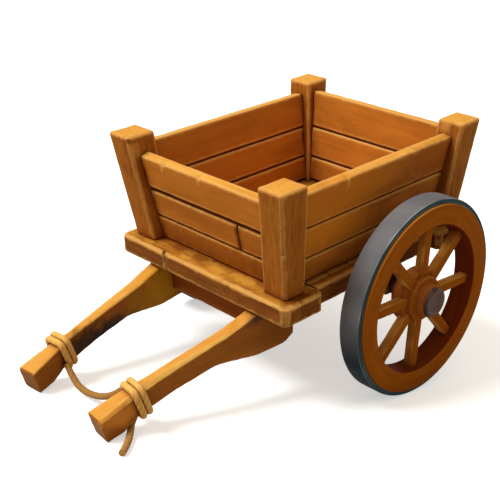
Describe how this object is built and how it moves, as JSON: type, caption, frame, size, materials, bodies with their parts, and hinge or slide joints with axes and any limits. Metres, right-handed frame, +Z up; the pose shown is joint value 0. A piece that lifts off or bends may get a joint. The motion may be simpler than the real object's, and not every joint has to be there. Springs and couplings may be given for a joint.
{
  "type": "wooden cart",
  "caption": "Wooden hand cart with spoked iron-tyred wheels, a slatted box body with flared corner posts, and a pair of carved shafts tied with rope.",
  "frame": {"origin": "on the ground, at the middle of the parked cart's footprint box without its rope", "axes": "+X to the cart's left across it, -Y the way it is pulled, +Z up; the bed slopes down towards -Y"},
  "size_m": [1.284, 1.6939, 1.0544],
  "materials": {
    "post_wood": "hewn, oiled, worn edges",
    "board_wood": "sawn, oiled, worn edges",
    "frame_wood": "hewn, worn pale on top",
    "shaft_wood": "carved, hand-worn",
    "wheel_wood": "dark oiled",
    "tyre_iron": "dull grey, worn edge",
    "cap_iron": "dull, rubbed edge",
    "axle_iron": "forged, dull",
    "rope": "laid natural fibre"
  },
  "bodies": {
    "cart": {"axle_bar": "axle_iron", "axle_bed": "frame_wood", "centre_sill": "frame_wood", "floor_board_1": "board_wood", "floor_board_2": "board_wood", "floor_board_3": "board_wood", "floor_board_4": "board_wood", "floor_board_5": "board_wood", "floor_board_6": "board_wood", "front_board_bottom": "board_wood", "front_board_middle_long": "board_wood", "front_board_middle_short": "board_wood", "front_board_top": "board_wood", "front_crossbeam": "frame_wood", "front_sill": "frame_wood", "left_board_bottom": "board_wood", "left_board_middle": "board_wood", "left_board_top": "board_wood", "post_front_left": "post_wood", "post_front_right": "post_wood", "post_rear_left": "post_wood", "post_rear_right": "post_wood", "rear_board_bottom": "board_wood", "rear_board_middle": "board_wood", "rear_board_top": "board_wood", "rear_sill": "frame_wood", "right_board_bottom": "board_wood", "right_board_middle": "board_wood", "right_board_top": "board_wood", "rope_lashing_left": "rope", "rope_lashing_right": "rope", "rope_tail": "rope", "shaft_left": "shaft_wood", "shaft_right": "shaft_wood", "side_sill_left": "frame_wood", "side_sill_right": "frame_wood", "tow_rope": "rope"},
    "wheel_left": {"hub_cap_left": "cap_iron", "hub_left": "wheel_wood", "rim_left": "wheel_wood", "spokes_left": "wheel_wood", "tyre_left": "tyre_iron"},
    "wheel_right": {"hub_cap_right": "cap_iron", "hub_right": "wheel_wood", "rim_right": "wheel_wood", "spokes_right": "wheel_wood", "tyre_right": "tyre_iron"}
  },
  "joints": [
    {"name": "wheel_left_spin", "type": "hinge", "parent": "cart", "child": "wheel_left", "pos_m": [0, 0.41193, 0.4], "axis": [1, 0, 0], "continuous": true},
    {"name": "wheel_right_spin", "type": "hinge", "parent": "cart", "child": "wheel_right", "pos_m": [0, 0.41193, 0.4], "axis": [1, 0, 0], "continuous": true}
  ]
}
